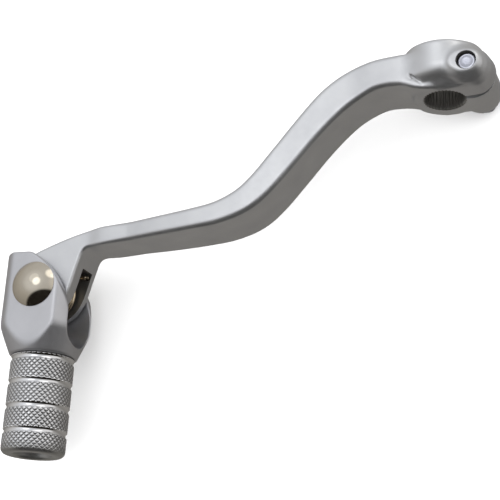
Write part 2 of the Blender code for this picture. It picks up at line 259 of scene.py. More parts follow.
def rod_distance(x, y, z, ends):
    """Distance to a straight rod's axis, and how far along it that is, 0 to 1."""
    start, end = np.array(ends)
    run = end - start
    along = ((x - start[0]) * run[0] + (y - start[1]) * run[1] + (z - start[2]) * run[2])
    t = np.clip(along / (run @ run), 0.0, 1.0)
    return np.sqrt((x - start[0] - t * run[0]) ** 2 + (y - start[1] - t * run[1]) ** 2
                   + (z - start[2] - t * run[2]) ** 2), t


def outline_distance(x, y, outline):
    """Signed distance to a closed outline, negative inside."""
    x, y = np.broadcast_arrays(x, y)
    best = np.full(x.shape, np.inf)
    sign = np.ones(x.shape)
    for (ax, ay), (bx, by) in zip(outline, np.roll(outline, -1, axis=0)):
        ex, ey = bx - ax, by - ay
        wx, wy = x - ax, y - ay
        t = np.clip((wx * ex + wy * ey) / (ex * ex + ey * ey), 0.0, 1.0)
        best = np.minimum(best, (wx - t * ex) ** 2 + (wy - t * ey) ** 2)
        above, below, left = y >= ay, y < by, ex * wy > ey * wx
        sign[(above & below & left) | (~above & ~below & ~left)] *= -1.0
    return sign * np.sqrt(best)


def net(field, low, high, step):
    """Quads on the zero surface of a field inside a box, one vertex to a cell."""
    axes = [np.arange(a, b + step, step) for a, b in zip(low, high)]
    values = field(axes[0][:, None, None], axes[1][None, :, None], axes[2][None, None, :])
    cells = tuple(n - 1 for n in values.shape)
    total = np.zeros(cells + (3,))
    count = np.zeros(cells)
    rings = []
    for axis in range(3):
        first = np.moveaxis(values, axis, 0)[:-1]
        second = np.moveaxis(values, axis, 0)[1:]
        found = np.array(np.nonzero((first < 0) != (second < 0)))
        a, b = first[tuple(found)], second[tuple(found)]
        index = np.insert(found[1:], axis, found[0], axis=0)
        point = index.T.astype(float)
        point[:, axis] += a / (a - b)
        u, v = (axis + 1) % 3, (axis + 2) % 3
        corners = []
        for du, dv in ((1, 1), (0, 1), (0, 0), (1, 0)):
            cell = index.copy()
            cell[u] -= du
            cell[v] -= dv
            np.add.at(total, tuple(cell), point)
            np.add.at(count, tuple(cell), 1)
            corners.append(np.ravel_multi_index(tuple(cell), cells))
        quads = np.stack(corners, axis=1)
        quads[a >= 0] = quads[a >= 0][:, ::-1]
        rings.append(quads)
    used = np.flatnonzero(count.ravel())
    verts = total.reshape(-1, 3)[used] / count.ravel()[used, None] * step + np.array(low)
    number = np.full(count.size, -1)
    number[used] = np.arange(len(used))
    return verts, number[np.concatenate(rings)]


def settle(verts, quads, field, step, rounds=3):
    """Even out the vertices and put them back exactly on the zero surface."""
    ends = np.concatenate([quads[:, [i, (i + 1) % 4]] for i in range(4)])
    weight = np.bincount(ends[:, 0], minlength=len(verts))[:, None]
    for _ in range(rounds):
        mean = np.stack([np.bincount(ends[:, 0], verts[ends[:, 1], c], len(verts))
                         for c in range(3)], axis=1) / weight
        verts = 0.5 * (verts + mean)
        for _ in range(2):
            verts = verts - pull(verts, field, step)
    return verts


def pull(verts, field, step, probe=0.03):
    """Newton step from points to the zero surface, no longer than half a cell."""
    here = field(*verts.T)
    slope = np.stack([(field(*(verts + probe * np.eye(3)[c]).T) - here) / probe
                      for c in range(3)], axis=1)
    move = slope * (here / np.maximum((slope ** 2).sum(1), 0.05))[:, None]
    length = np.linalg.norm(move, axis=1, keepdims=True)
    return move * np.minimum(1.0, 0.5 * step / np.maximum(length, 1e-9))


# --------------------------------------------------------------- mesh makers
def piece(name, verts, faces, mats, face_mats=None, smooth=True):
    """Mesh object from millimetre points in the CAD frame."""
    mesh = bpy.data.meshes.new(name)
    mesh.from_pydata((np.asarray(verts, float) * MM).tolist(), [],
                     [tuple(map(int, f)) for f in faces])
    for mat in mats:
        mesh.materials.append(mat)
    if face_mats is not None:
        mesh.polygons.foreach_set("material_index", np.asarray(face_mats, np.int32))
    mesh.polygons.foreach_set("use_smooth", [smooth] * len(mesh.polygons))
    mesh.validate()
    obj = bpy.data.objects.new(name, mesh)
    bpy.context.scene.collection.objects.link(obj)
    return obj


def grid_faces(rings, size, closed):
    """Quads between equal rings; an open stack is capped, a closed one is a tube."""
    faces = []
    for i in range(rings if closed else rings - 1):
        a, b = i * size, ((i + 1) % rings) * size
        faces += [(a + k, a + (k + 1) % size, b + (k + 1) % size, b + k)
                  for k in range(size)]
    if not closed:
        faces.append(tuple(range(size))[::-1])
        faces.append(tuple((rings - 1) * size + k for k in range(size)))
    return faces


def turned(name, profile, mats, centre=(0, 0, 0), tube=False, segs=128, face_mats=None):
    """Turn (radius, height) pairs, from the bottom up the outside, about a vertical axis."""
    angle = np.arange(segs) * 2 * math.pi / segs
    verts = np.concatenate([np.stack((r * np.cos(angle), r * np.sin(angle),
                                      np.full(segs, h)), axis=1) for r, h in profile])
    obj = piece(name, verts + np.array(centre), grid_faces(len(profile), segs, tube),
                mats, face_mats)
    obj.data.set_sharp_from_angle(angle=math.radians(40))
    return obj


def eased(profile, ease=0.12):
    """Break the corners of a turned profile with short chamfers."""
    out = []
    for i, p in enumerate(profile):
        p = np.array(p, float)
        if i in (0, len(profile) - 1):
            out.append(tuple(p))
            continue
        back, ahead = np.array(profile[i - 1]) - p, np.array(profile[i + 1]) - p
        out += [tuple(p + v / np.linalg.norm(v) * min(ease, np.linalg.norm(v) / 3))
                for v in (back, ahead)]
    return out


def arc(cx, cy, r, start, end, count):
    """Points on an arc, angles in degrees."""
    angle = np.radians(np.linspace(start, end, count + 1))
    return [(cx + r * math.cos(a), cy + r * math.sin(a)) for a in angle]


def prism(name, outline, low, high):
    """Plain closed extrusion of an anticlockwise XY outline, for cutting."""
    verts = [(x, y, z) for z in (low, high) for x, y in outline]
    return piece(name, verts, grid_faces(2, len(outline), False), [], smooth=False)


def combine(obj, tools, operation):
    """Apply one Boolean with each tool and remove the tools."""
    for tool in tools:
        mod = obj.modifiers.new(tool.name, "BOOLEAN")
        mod.operation = operation
        mod.solver = "EXACT"
        mod.material_mode = "TRANSFER"
        mod.object = tool
    bpy.context.view_layer.update()
    made = bpy.data.meshes.new_from_object(
        obj.evaluated_get(bpy.context.evaluated_depsgraph_get()))
    obj.modifiers.clear()
    obj.data = made
    for tool in tools:
        bpy.data.objects.remove(tool)
    return obj


# ----------------------------------------------------------------- materials
def noise(tree, scale, detail, vector, dimensions="3D", distortion=0.0):
    """Noise texture over a position, or over one number."""
    node = tree.nodes.new("ShaderNodeTexNoise")
    node.noise_dimensions = dimensions
    node.inputs["Scale"].default_value = scale
    node.inputs["Detail"].default_value = detail
    node.inputs["Distortion"].default_value = distortion
    tree.links.new(vector, node.inputs["W" if dimensions == "1D" else "Vector"])
    return node.outputs["Fac"]


def spread(tree, value, low, high):
    """Map a noise's middle range onto low..high."""
    node = tree.nodes.new("ShaderNodeMapRange")
    tree.links.new(value, node.inputs["Value"])
    node.inputs["From Min"].default_value = 0.3
    node.inputs["From Max"].default_value = 0.7
    node.inputs["To Min"].default_value = low
    node.inputs["To Max"].default_value = high
    return node.outputs["Result"]


def metal(name, colour, tint, roughness, vary, grain=0.0, grain_size=0.2, edge=0.0,
          lathe=None, lathe_depth=0.0):
    """Bare metal: clouded colour and roughness, blasted grain, lathe lines, eased edges.

    grain and lathe_depth are heights, and grain_size and edge lengths, in millimetres;
    lathe is the direction of the turning axis.
    """
    mat = bpy.data.materials.new(name)
    mat.use_nodes = True
    tree = mat.node_tree
    shader = tree.nodes["Principled BSDF"]
    shader.inputs["Metallic"].default_value = 1.0
    coord = tree.nodes.new("ShaderNodeTexCoord").outputs["Object"]

    cloud = noise(tree, 1 / (9 * MM), 3.0, coord)
    mix = tree.nodes.new("ShaderNodeMix")
    mix.data_type = "RGBA"
    mix.inputs["A"].default_value = (*colour, 1.0)
    mix.inputs["B"].default_value = (*tint, 1.0)
    tree.links.new(spread(tree, cloud, 0.0, 1.0), mix.inputs["Factor"])
    tree.links.new(mix.outputs["Result"], shader.inputs["Base Color"])

    speck = noise(tree, 1 / (1.3 * MM), 4.0, coord, distortion=0.4)
    tree.links.new(spread(tree, speck, roughness - vary, roughness + vary),
                   shader.inputs["Roughness"])

    normal = None
    if edge:
        bevel = tree.nodes.new("ShaderNodeBevel")
        bevel.samples = 4
        bevel.inputs["Radius"].default_value = edge * MM
        normal = bevel.outputs["Normal"]
    if grain:
        fine = noise(tree, 1 / (grain_size * MM), 2.0, coord)
        normal = bumped(tree, fine, grain, normal)
    if lathe is not None:
        along = tree.nodes.new("ShaderNodeVectorMath")
        along.operation = "DOT_PRODUCT"
        tree.links.new(coord, along.inputs[0])
        along.inputs[1].default_value = lathe
        lines = noise(tree, 1 / (0.09 * MM), 3.0, along.outputs["Value"], "1D")
        normal = bumped(tree, lines, lathe_depth, normal)
    if normal:
        tree.links.new(normal, shader.inputs["Normal"])
    return mat


def paint_hollow_shade(mat, attribute, colour):
    """Let a piece's own attribute, 0 to 1, paint shade into its hollows."""
    tree = mat.node_tree
    base = tree.nodes["Principled BSDF"].inputs["Base Color"]
    clean = base.links[0].from_socket
    depth = tree.nodes.new("ShaderNodeAttribute")
    depth.attribute_name = attribute
    painted_shade = tree.nodes.new("ShaderNodeMix")
    painted_shade.data_type = "RGBA"
    tree.links.new(depth.outputs["Fac"], painted_shade.inputs["Factor"])
    tree.links.new(clean, painted_shade.inputs["A"])
    painted_shade.inputs["B"].default_value = (*colour, 1.0)
    tree.links.new(painted_shade.outputs["Result"], base)


def bumped(tree, height, depth, normal):
    """Normal of a height in millimetres, on top of another normal."""
    bump = tree.nodes.new("ShaderNodeBump")
    bump.inputs["Strength"].default_value = 1.0
    bump.inputs["Distance"].default_value = depth * MM
    tree.links.new(height, bump.inputs["Height"])
    if normal:
        tree.links.new(normal, bump.inputs["Normal"])
    return bump.outputs["Normal"]


PEG_LINE = Vector(TIP_OUT)
FORGED = metal("satin_forged_aluminium", (0.66, 0.665, 0.675), (0.60, 0.605, 0.62),
               0.39, 0.03, grain=0.008, grain_size=0.22, edge=0.25)
BLASTED = metal("blasted_aluminium", (0.57, 0.57, 0.59), (0.52, 0.52, 0.54),
                0.40, 0.03, grain=0.010, grain_size=0.2)
# darker copy of the aluminium: painted shade for the walls of the spring slot, bolt hole and leg hole
SHADED_MILLED = metal("milled_slot_painted_shade", (0.30, 0.295, 0.285), (0.24, 0.235, 0.225),
               0.42, 0.04, grain=0.006)
# broached aluminium with its lines, coloured darker as painted shade inside the bore
SHADED_BROACHED = metal("broached_aluminium_painted_shade", (0.36, 0.35, 0.33), (0.28, 0.27, 0.255),
                 0.36, 0.05, grain=0.004, lathe=Vector((0, 1, 0)), lathe_depth=0.004)
KNURLED = metal("knurled_aluminium", (0.82, 0.82, 0.83), (0.72, 0.72, 0.73),
                0.30, 0.05, grain=0.004, grain_size=0.12)
# painted shade in the knurl's valleys, near black at the bottom
paint_hollow_shade(KNURLED, "hollow_shade", (0.05, 0.05, 0.05))
POLISHED = metal("polished_groove", (0.90, 0.90, 0.91), (0.86, 0.86, 0.87),
                 0.06, 0.02, lathe=PEG_LINE, lathe_depth=0.0016)
# satin nose coloured darker as painted shade: it faces down, away from the light
SHADED_NOSE = metal("satin_nose_painted_shade", (0.46, 0.46, 0.45), (0.40, 0.40, 0.39),
             0.36, 0.04, grain=0.003, lathe=PEG_LINE, lathe_depth=0.003)
NICKEL = metal("polished_nickel", (0.67, 0.615, 0.52), (0.60, 0.54, 0.44),
               0.07, 0.02, grain=0.0008, grain_size=0.6)
SPRING = metal("spring_steel", (0.80, 0.68, 0.50), (0.62, 0.52, 0.38),
               0.20, 0.05, grain=0.003, grain_size=0.15)
STEEL = metal("turned_steel", (0.58, 0.58, 0.58), (0.48, 0.48, 0.49),
              0.30, 0.05, grain=0.002, lathe=FOLD_AXIS, lathe_depth=0.003)
ZINC = metal("zinc_plated_steel", (0.64, 0.65, 0.71), (0.44, 0.45, 0.52),
             0.26, 0.06, grain=0.010, grain_size=0.4)


# ----------------------------------------------------------------- lever arm
def through(points, steps):
    """Catmull-Rom curve through rows of numbers."""
    rows = [np.array(p, float) for p in points]
    rows = [2 * rows[0] - rows[1]] + rows + [2 * rows[-1] - rows[-2]]
    out = []
    for p0, p1, p2, p3 in zip(rows, rows[1:], rows[2:], rows[3:]):
        for k in range(steps):
            t = k / steps
            out.append(0.5 * (2 * p1 + (p2 - p0) * t + (2 * p0 - 5 * p1 + 4 * p2 - p3) * t * t
                              + (3 * p1 - p0 - 3 * p2 + p3) * t ** 3))
    out.append(rows[-2])
    return np.array(out)


def lever_outline():
    """Plan outline of the arm and hook, anticlockwise, and half heights along X."""
    path = through(ARM, 5)
    ahead = np.gradient(path[:, :2], axis=0)
    side = np.stack((-ahead[:, 1], ahead[:, 0]), axis=1)
    side *= (path[:, 2] / 2 / np.linalg.norm(side, axis=1))[:, None]
    hook = np.array(HOOK) + np.tile(PIVOT[:2], 2)
    inner = through(np.vstack((path[-6::5, :2] - side[-6::5], hook[:, :2])), 5)[5:]
    outer = through(np.vstack((path[-6::5, :2] + side[-6::5], hook[:, 2:])), 5)[5:]
    inboard = np.vstack((path[:-1, :2] - side[:-1], inner))
    outboard = np.vstack((path[:-1, :2] + side[:-1], outer))
    toe = through(TOE_HALVES, 5)
    halves = np.vstack((path[:-1, (0, 3)] * (1.0, 0.5), toe))[::-1]
    return np.vstack((inboard, outboard[::-1])), halves[:, 0], halves[:, 1]


LEVER_PLAN, LEVER_X, LEVER_HALF = lever_outline()


def lever_field(x, y, z):
    """Arm, hook, boss, lug and round head, blended as the forging is."""
    plan = outline_distance(x, y, LEVER_PLAN)
    half = np.interp(x, LEVER_X, LEVER_HALF)
    runs = (PIVOT[0] + TONGUE_RUN[0], PIVOT[0] + TONGUE_RUN[1], *HEAD_RUN)
    edge = np.interp(x, runs, (TONGUE_EDGE, ARM_EDGE, ARM_EDGE, HEAD_END_EDGE))
    out, up = plan + edge, np.abs(z) - half + edge
    arm = (np.minimum(np.maximum(out, up), 0.0)
           + np.hypot(np.maximum(out, 0.0), np.maximum(up, 0.0)) - edge)

    ring = np.hypot(x, z + BOSS_DROP) - BOSS_R
    brow = np.clip(z / BROW_RISE, 0.0, 1.0) ** 2
    face = BOSS_FACE + BOSS_LEAN * z - y
    boss = soft_max(ring, face, BOSS_EDGE + BROW_EDGE * brow)
    boss = soft_max(boss, y - BOSS_HALF, BOSS_EDGE)

    # the lug reaches back to the bore only where the boss can hide it
    near = np.interp(z, LUG_REACH_Z, (BOLT[0], LUG_REACH_X, LUG_REACH_X, BOLT[0] - 1.0))
    lug_r = LUG_R - np.interp(z, LUG_Z, LUG_INSET)
    lug = np.hypot(x - np.clip(x, near, BOLT[0]), y - BOLT[1]) - lug_r
    lug = soft_max(soft_max(lug, LUG_Z[0] - z, 0.5), z - LUG_Z[-1], 0.8)

    cx, cz = HEAD_CENTRE
    depth = (z - cz) / np.where(z < cz, HEAD_FLAT, 1.0)
    round_head = soft_max(np.hypot(x - cx, depth) - HEAD_R, HEAD_FRONT - y, HEAD_EASE)
    round_head = soft_max(round_head, y - BOSS_HALF, HEAD_BACK_EDGE)

    head = soft_min(round_head, lug, LUG_FILLET)
    head = soft_min(head, boss, BOSS_FILLET)
    body = soft_min(head, arm, np.interp(y, ARM_FILLET_Y, ARM_FILLET))
    body = np.where(x > HEAD_END, soft_max(body, face, FACE_EDGE), body)

    # the trimming nick where the head's brow meets the arm's top
    away, t = rod_distance(x, y, z, NICK)
    return soft_max(body, NICK_R * (4 * t * (1 - t)) ** 0.4 - away, 0.2)


BOLT = 0.5 * sum(node_box("pinch_bolt"))


def lever_cutters():
    """Bore, slit, bolt hole, pin bore, spring slot and leg hole."""
    step = 2 * math.pi / BORE_TEETH
    marks = [((k + part) * step, r) for k in range(BORE_TEETH)
             for part, r in ((0.06, BORE_TIP_R), (0.18, BORE_TIP_R + 0.02), (0.30, BORE_TIP_R),
                             (0.56, BORE_ROOT_R), (0.68, BORE_ROOT_R + 0.02),
                             (0.80, BORE_ROOT_R))]
    face = BOSS_HALF + 0.05
    rings = ((-face - 3.0, 3.3), (-face, BORE_CHAMFER), (-face + BORE_CHAMFER, 0.0),
             (face - BORE_CHAMFER, 0.0), (face, BORE_CHAMFER), (face + 3.0, 3.3))
    verts = []
    for y, flare in rings:
        for a, r in marks:
            wide = max(r, BORE_TIP_R + flare) if flare else r
            verts.append((wide * math.cos(a), y, -wide * math.sin(a)))
    bore = piece("bore", verts, grid_faces(len(rings), len(marks), False), [SHADED_BROACHED])

    slit = prism("slit", [(3, -20), (30, -20), (30, 20), (3, 20)], -SLIT / 2, SLIT / 2)
    mouth = LUG_Z[-1]
    crown = mouth - BOLT_HOLE_CROWN
    hole = turned("bolt_hole", [(BOLT_HOLE_R, -20), (BOLT_HOLE_R, crown - 0.3),
                                (BOLT_HOLE_R + 0.05, crown), (BOLT_HOLE_R + 0.05, mouth + 9)],
                  [SHADED_MILLED], (BOLT[0], BOLT[1], 0), segs=64)
    pin = turned("pin_bore", [(PIN_BORE_R, -20), (PIN_BORE_R, 20)], [FORGED],
                 (PIVOT[0], PIVOT[1], 0), segs=96)
    low, high = SPRING_SLOT
    pocket = arc(0, 0, SPRING_POCKET_R, *SPRING_POCKET_ARC, 16)
    plan = ([(30, -30), (30, SPRING_SLOT_END[1]), SPRING_SLOT_END] + pocket
            + [(-30, pocket[-1][1]), (-30, -30)])
    slot = prism("slot", [(x + PIVOT[0], y + PIVOT[1]) for x, y in plan], low, high)
    # the slot's faces take the painted-shade material
    slot.data.materials.append(SHADED_MILLED)
    leg = turned("leg_hole", [(LEG_HOLE_R, low - 2.4), (LEG_HOLE_R, low + 0.5)], [SHADED_MILLED],
                 (PIVOT[0] + LEG_HOLE[0], PIVOT[1] + LEG_HOLE[1], 0), segs=32)
    return [bore, slit, hole, pin, slot, leg]


def build_lever():
    step = 0.45
    low, high = node_box("lever_arm")
    verts, quads = net(lever_field, low - 2.3, high + 2.4, step)
    verts = settle(verts, quads, lever_field, step)
    lever = piece("forged_lever", verts, quads, [FORGED])
    combine(lever, lever_cutters(), "DIFFERENCE")
    lever.data.set_sharp_from_angle(angle=math.radians(35))
    return lever


# -------------------------------------------------------------- folding tip
def tip_world(verts):
    """Points given as (across, out, up) from the pivot, in the CAD frame."""
    verts = np.asarray(verts, float)
    return (PIVOT + verts[:, :1] * np.append(TIP_ACROSS[:2], 0.0)
            + verts[:, 1:2] * np.append(TIP_OUT[:2], 0.0) + verts[:, 2:] * (0, 0, 1))


def yoke_field(across, out, up):
    """Turned blank, flats, fork slot, ear relief and holes, in tip coordinates."""
    r = np.hypot(across + np.interp(out, (FORK_END, COLLAR_END), (FORK_OFFSET, 0.0)), up)
    run, fall = COLLAR_END - FORK_END, FORK_R - COLLAR_R
    cone = ((r - FORK_R) * run + (out - FORK_END) * fall) / math.hypot(run, fall)
    blank = soft_max(r - FORK_R, cone, CONE_EDGE)
    blank = soft_max(blank, out - COLLAR_END, MILLED_EDGE)
    blank = soft_max(blank, -EAR_END - out, MILLED_EDGE)
    body = soft_max(blank, np.maximum(up - EAR_TOP, -EAR_OUT - up), MILLED_EDGE)
    slot = np.hypot(np.maximum(out - SLOT_FLOOR, 0.0), up) - EAR_IN
    body = soft_max(body, -slot, SLOT_EDGE)
    cx, cy = RELIEF_CENTRE
    relief = np.hypot(across - cx, np.maximum(-out - cy, 0.0)) - RELIEF_R
    body = soft_max(body, relief, MILLED_EDGE)
    body = soft_max(body, PIN_HOLE_R - np.hypot(across, out), SLOT_EDGE)
    spigot = soft_max(r - SPIGOT_R, np.maximum(SPIGOT_START - out, out - SPIGOT_END), 0.5)
    body = soft_min(body, spigot, SPIGOT_FILLET)
    leg = np.maximum(SPRING_HOLE[0] - out, out - SPRING_HOLE[1])
    leg = np.maximum(leg, np.hypot(across + COIL_R, up - COIL_TOP) - SPRING_HOLE_R)
    return soft_max(body, -leg, 0.2)


def build_yoke():
    step = 0.33
    low = (-FORK_R - 1, -EAR_END - 1, -EAR_OUT - 1)
    high = (FORK_R + 1, SPIGOT_END + 1, EAR_TOP + 1)
    verts, quads = net(yoke_field, low, high, step)
    verts = settle(verts, quads, yoke_field, step)
    # the tip's axes are left-handed in this order, so the faces turn round
    return piece("folding_yoke", tip_world(verts), quads[:, ::-1], [BLASTED])


def peg_rings():
    """Stations along the peg: even in the knurl, closer in grooves and nose."""
    groove = [GROOVE_FIRST + k * GROOVE_PITCH for k in range(GROOVES)]
    nose = PEG_END - PEG_NOSE
    step = KNURL_PITCH / KNURL_CUTS
    rings = [PEG_START]
    for mid, end in zip(groove, [later - GROOVE_HALF for later in groove[1:]] + [nose]):
        across = [mid - GROOVE_HALF * math.cos(math.radians(a)) for a in range(0, 181, 10)]
        rings += [s for s in across if s > PEG_START + 0.02]
        rings += list(np.arange(mid + GROOVE_HALF + step, end - step / 2, step))
    rings += [nose + PEG_NOSE * math.sin(math.radians(a)) for a in range(0, 86, 5)]
    return groove, nose, np.array(rings)


def build_peg():
    """Grip sleeve with diamond knurling cut between polished grooves."""
    groove, nose, along = peg_rings()
    around = KNURL_AROUND * KNURL_CUTS
    angle = np.arange(around) * 2 * math.pi / around
    s, a = along[:, None], angle[None, :]

    body = np.full((len(along), 1), PEG_R)
    for mid in groove:
        t = np.clip((s - mid - GROOVE_LAND / 2) / (GROOVE_HALF - GROOVE_LAND / 2), -1.0, 1.0)
        cut = PEG_R - GROOVE_LIP - GROOVE_DEPTH * np.sqrt(1 - t * t)
        body = np.minimum(body, np.where(np.abs(s - mid) < GROOVE_HALF, cut, PEG_R))
        shoulder = s - mid - GROOVE_HALF
        rise = PEG_R - SHOULDER_DROP + SHOULDER_SLOPE * shoulder
        body = np.minimum(body, np.where(shoulder >= 0, rise, PEG_R))
    lip = np.clip((s - nose) / PEG_NOSE, 0.0, 1.0)
    body = np.minimum(body, PEG_R - NOSE_DROP - PEG_NOSE * (1 - np.sqrt(1 - lip * lip)))

    turn, reach = KNURL_AROUND * a / (2 * math.pi), (s - nose) / KNURL_PITCH
    left, right = turn + reach, turn - reach
    high = 2 * np.minimum(np.abs(left - np.round(left)), np.abs(right - np.round(right)))
    knurl = PEG_R - KNURL_DEPTH * (1 - np.minimum(high, KNURL_CROWN) / KNURL_CROWN)
    radius = np.minimum(body, knurl)

    verts = np.stack((radius * np.cos(a), np.broadcast_to(s, radius.shape),
                      radius * np.sin(a)), axis=2).reshape(-1, 3)
    inner = [(PEG_BORE_R + 0.9, PEG_END), (PEG_BORE_R + 0.35, PEG_END - 0.25),
             (PEG_BORE_R, PEG_END - 0.8), (PEG_BORE_R, PEG_START)]
    tail = np.concatenate([np.stack((r * np.cos(angle), np.full(around, h),
                                     r * np.sin(angle)), axis=1) for r, h in inner])
    rings = len(along) + len(inner)
    faces = grid_faces(rings, around, True)

    plain = body < knurl - 0.004
    in_groove = np.min([np.abs(along - mid) for mid in groove], axis=0) <= GROOVE_HALF + 0.01
    peg_materials = [KNURLED, POLISHED, SHADED_NOSE]
    mats = []
    for i in range(rings):
        for k in range(around):
            n = (k + 1) % around
            if i >= len(along) - 1:
                mats.append(peg_materials.index(SHADED_NOSE))
            elif in_groove[i] and in_groove[i + 1]:
                mats.append(peg_materials.index(POLISHED))
            elif along[i] > nose - 1.0 and plain[i, k] and plain[i + 1, n]:
                mats.append(peg_materials.index(SHADED_NOSE))
            else:
                mats.append(peg_materials.index(KNURLED))
    peg = piece("knurled_peg", tip_world(np.vstack((verts, tail))), faces, peg_materials, mats)

    # painted shade between the diamonds: none on the crests, nearly full at the bottom
    hollow_shade = np.clip(1.3 * (PEG_R - radius) / KNURL_DEPTH - 0.15, 0.0, 0.95)
    hollow_shade *= knurl <= body + 1e-6
    depth = peg.data.attributes.new("hollow_shade", "FLOAT", "POINT")
    depth.data.foreach_set("value", np.concatenate(
        (hollow_shade.ravel(), np.zeros(len(tail)))).astype(np.float32))
    peg.data.set_sharp_from_angle(angle=math.radians(60))
    return peg


def build_pin():
    """Pivot pin: riveted tail, shank and a polished dome."""
    (_, _, bottom), (_, _, top) = node_box("pivot_pin")
    top -= PIN_HEAD_SINK
    head = top - PIN_HEAD_RISE - PIN_HEAD_RIM
    seat = bottom + PIN_TAIL_RISE
    dome_r = (PIN_HEAD_R ** 2 + PIN_HEAD_RISE ** 2) / (2 * PIN_HEAD_RISE)
    reach = math.asin(PIN_HEAD_R / dome_r)
    crown = [(dome_r * math.sin(reach * t), top - dome_r + dome_r * math.cos(reach * t))
             for t in np.linspace(0.985, 0.02, 30)]
    tail = arc(PIN_TAIL_R - PIN_TAIL_RISE, bottom + 1.35, PIN_TAIL_RISE, -70, 0, 8)
    tail = [(2.7, bottom + 0.02)] + [(r, max(h, bottom)) for r, h in tail]
    profile = tail + [(PIN_TAIL_R - 0.15, seat), (PIN_R, seat), (PIN_R, head),
                      (PIN_HEAD_R - PIN_HEAD_RIM, head), (PIN_HEAD_R, head + PIN_HEAD_RIM)] + crown
    return turned("domed_pivot_pin", profile, [NICKEL], (PIVOT[0], PIVOT[1], 0), segs=160)


def build_ring(name, node, radius, ease):
    """Turned steel ring on the pin, between its CAD node's heights."""
    (_, _, low), (_, _, high) = node_box(node)
    profile = eased([(PIN_HOLE_R, low + 0.01), (PIN_HOLE_R + 0.02, low), (radius, low),
                     (radius, high), (PIN_HOLE_R, high)], ease)
    return turned(name, profile, [STEEL], (PIVOT[0], PIVOT[1], 0), tube=True)


def build_spring():
    """Round wire: lower leg in the lever, coil, upper leg in the fork."""
    rise = COIL_TOP - COIL_BOTTOM
    end = 180.0 + TIP_SWEEP
    start = end - 360.0 * COIL_TURNS
    anchor = np.array((*LEG_HOLE, 0.0))
    path = [anchor + (0, 0, COIL_BOTTOM - 2.9), anchor + (0, 0, COIL_BOTTOM - 0.8),
            anchor + (-0.25, -0.1, COIL_BOTTOM - 0.25), anchor + (-0.9, -0.1, COIL_BOTTOM)]
    for share in np.linspace(0.0, 1.0, int(20 * COIL_TURNS) + 1):
        a = math.radians(start + (end - start) * share)
        path.append(np.array((COIL_R * math.cos(a), COIL_R * math.sin(a),
                              COIL_BOTTOM + rise * share)))
    foot = path[-1]
    path += [foot + reach * np.append(TIP_OUT[:2], 0.0) for reach in (3.0, 9.0, 15.0, LEG_REACH)]
    path = through(path, 3)

    sides = 14
    side = np.array((1.0, 0.0, 0.0))
    angle = np.arange(sides) * 2 * math.pi / sides
    verts = []
    for p, ahead in zip(path, np.gradient(path, axis=0)):
        ahead = ahead / np.linalg.norm(ahead)
        side = side - ahead * (side @ ahead)
        side /= np.linalg.norm(side)
        up = np.cross(ahead, side)
        verts.append(p + WIRE_R * (np.cos(angle)[:, None] * side + np.sin(angle)[:, None] * up))
    return piece("return_spring", np.concatenate(verts) + PIVOT,
                 grid_faces(len(path), sides, False), [SPRING])


def build_bolt():
    """Flange bolt: hexagon, washer face, shank and rolled thread with a chamfered end."""
    (_, _, bottom), (_, _, top) = node_box("pinch_bolt")
    seat = bottom + BOLT_SEAT
    around = 96
    angle = np.arange(around) * 2 * math.pi / around
    off = (angle % (math.pi / 3)) - math.pi / 6
    flat = HEX_AF / 2
    hexagon = np.minimum(flat / np.cos(off), flat / math.cos(math.pi / 6) - 0.12)
    circle = np.ones(around)
    # radii and heights: dished face, chamfered hexagon, flange
    rings = [(circle * 2.2, bottom + 0.3), (circle * 2.5, bottom + 0.05),
             (circle * (flat - 0.25), bottom + 0.05),
             (np.minimum(hexagon, flat + 0.2), bottom + 0.3), (hexagon, bottom + 0.7),
             (hexagon, seat - 1.7), (np.maximum(hexagon + 0.15, 4.3), seat - 1.55),
             (circle * (FLANGE_R - 0.35), seat - 1.2), (circle * FLANGE_R, seat - 0.85),
             (circle * FLANGE_R, seat - 0.12), (circle * (FLANGE_R - 0.12), seat),
             (circle * BOLT_R, seat)]
    for z in np.arange(seat + 0.1, top - 0.001, THREAD_PITCH / 8):
        phase = (z / THREAD_PITCH - angle / (2 * math.pi)) % 1.0
        groove = np.clip(1.0 - np.abs(phase - 0.5) / 0.42, 0.0, 1.0)
        fade = np.clip(z - seat - THREAD_START, 0.0, 1.0)
        chamfer = BOLT_R - 0.35 + top - z
        rings.append((np.minimum(BOLT_R - THREAD_DEPTH * groove * fade, chamfer), z))
    # the slightly dished end
    rings += [(circle * (BOLT_R - 0.40), top - 0.03), (circle * (BOLT_R - 0.52), top),
              (circle * (BOLT_R - 0.9), top), (circle * (BOLT_R - 1.1), top - 0.12),
              (circle * 0.9, top - 0.16), (circle * 0.2, top - 0.18)]
    verts = np.concatenate([np.stack((r * np.cos(angle), r * np.sin(angle),
                                      np.full(around, z)), axis=1) for r, z in rings])
    bolt = piece("flange_bolt", verts + (BOLT[0], BOLT[1], 0),
                 grid_faces(len(rings), around, False), [ZINC])
    bolt.data.set_sharp_from_angle(angle=math.radians(35))
    return bolt


# --------------------------------------------------------------- stage, light
CAMERA_AT = Vector((0.0787, -0.1905, 0.3839))
CAMERA_RIGHT = Vector((0.9396, 0.0136, -0.3420))
CAMERA_UP = Vector((0.0992, 0.9455, 0.3103))
CAMERA_LENS = 99.8          # millimetres on a 36 mm sensor
PALE_ROOM = (1.70, 1.70, 1.70)      # lights the floor evenly
# the metal's surroundings, from low in front to high behind: place on the slope, colour
STUDIO_SLOPE = (
    (0.00, (0.27, 0.255, 0.235)),
    (0.28, (0.22, 0.21, 0.195)),
    (0.46, (0.34, 0.33, 0.315)),
    (0.66, (0.48, 0.47, 0.455)),
    (0.84, (0.60, 0.605, 0.615)),
    (1.00, (0.66, 0.67, 0.69)),
)
